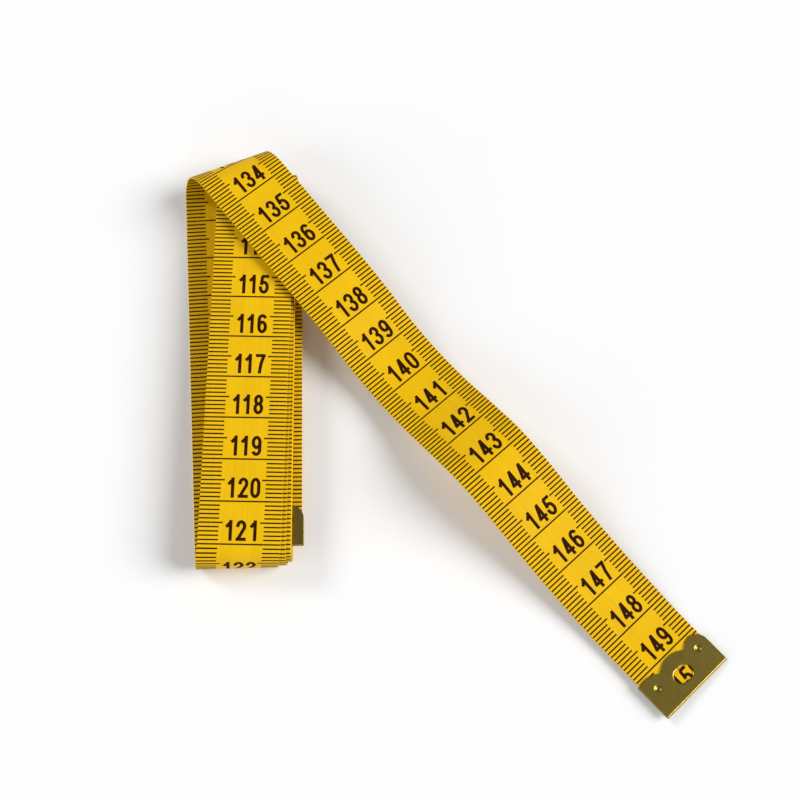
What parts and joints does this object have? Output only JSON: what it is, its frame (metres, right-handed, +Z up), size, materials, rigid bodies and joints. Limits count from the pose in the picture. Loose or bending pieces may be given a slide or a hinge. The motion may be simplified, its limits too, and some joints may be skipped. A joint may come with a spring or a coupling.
{
  "type": "cloth tape measure",
  "caption": "Sewing tape measure: a printed strip wound flat around its zero end, turned over in a big fold, with a free tail and a crimped brass tip on each end.",
  "frame": {"origin": "under the middle of the part's box, on the surface that it lies on", "axes": "+Z up, out of the surface that it lies on; +Y along the winding, towards the big fold; +X to the side that the tail runs to"},
  "size_m": [0.1286, 0.1374, 0.0133],
  "materials": {
    "tape": "yellow plastic coating over a fine weave, with a soft sheen",
    "print": "black printing ink",
    "brass": "stamped sheet, slightly dulled"
  },
  "bodies": {
    "wound_tape": {"tape_winding": "tape", "zero_tip": "brass"},
    "turn_1": {"turn_stretch_1": "tape"},
    "turn_2": {"turn_stretch_2": "tape"},
    "turn_3": {"turn_stretch_3": "tape"},
    "tail_1": {"tail_over_winding": "tape"},
    "tail_2": {"tail_descent": "tape"},
    "tail_3": {"tail_rise": "tape"},
    "tail_4": {"tail_slope": "tape"},
    "tail_5": {"tail_end": "tape", "end_tip": "brass"}
  },
  "joints": [
    {"name": "turn_hinge_1", "type": "hinge", "parent": "wound_tape", "child": "turn_1", "pos_m": [-0.05493, 0.06144, 0.00064], "axis": [-0.933, -0.36, 0], "range_deg": [0, 45], "stiffness_Nm_per_rad": 0.001},
    {"name": "turn_hinge_2", "type": "hinge", "parent": "turn_1", "child": "turn_2", "pos_m": [-0.05456, 0.06431, 0.00411], "axis": [-0.933, -0.36, 0], "range_deg": [0, 45], "stiffness_Nm_per_rad": 0.001},
    {"name": "turn_hinge_3", "type": "hinge", "parent": "turn_2", "child": "turn_3", "pos_m": [-0.05302, 0.0647, 0.00903], "axis": [-0.933, -0.36, 0], "range_deg": [0, 45], "stiffness_Nm_per_rad": 0.001},
    {"name": "turn_hinge_4", "type": "hinge", "parent": "turn_3", "child": "tail_1", "pos_m": [-0.05005, 0.06167, 0.0125], "axis": [-0.933, -0.36, 0], "range_deg": [0, 45], "stiffness_Nm_per_rad": 0.001},
    {"name": "tail_knee", "type": "hinge", "parent": "tail_1", "child": "tail_2", "pos_m": [-0.02108, 0.02608, 0.00988], "axis": [-0.7681, -0.6403, 0], "range_deg": [0, 12], "stiffness_Nm_per_rad": 0.002},
    {"name": "tail_valley", "type": "hinge", "parent": "tail_2", "child": "tail_3", "pos_m": [-0.00949, 0.01231, 0.00538], "axis": [0.7619, 0.6477, 0], "range_deg": [0, 28], "stiffness_Nm_per_rad": 0.002},
    {"name": "tail_ridge", "type": "hinge", "parent": "tail_3", "child": "tail_4", "pos_m": [0.01078, -0.01114, 0.01311], "axis": [-0.751, -0.6602, 0], "range_deg": [0, 28], "stiffness_Nm_per_rad": 0.002},
    {"name": "tail_foot", "type": "hinge", "parent": "tail_4", "child": "tail_5", "pos_m": [0.03819, -0.04164, 0.00249], "axis": [0.7364, 0.6766, 0], "range_deg": [0, 12], "stiffness_Nm_per_rad": 0.002}
  ],
  "couplings": [
    {"joint": "tail_knee", "follows": "tail_valley", "ratio": 0.42857},
    {"joint": "tail_ridge", "follows": "tail_valley", "ratio": 1},
    {"joint": "tail_foot", "follows": "tail_valley", "ratio": 0.42857}
  ]
}
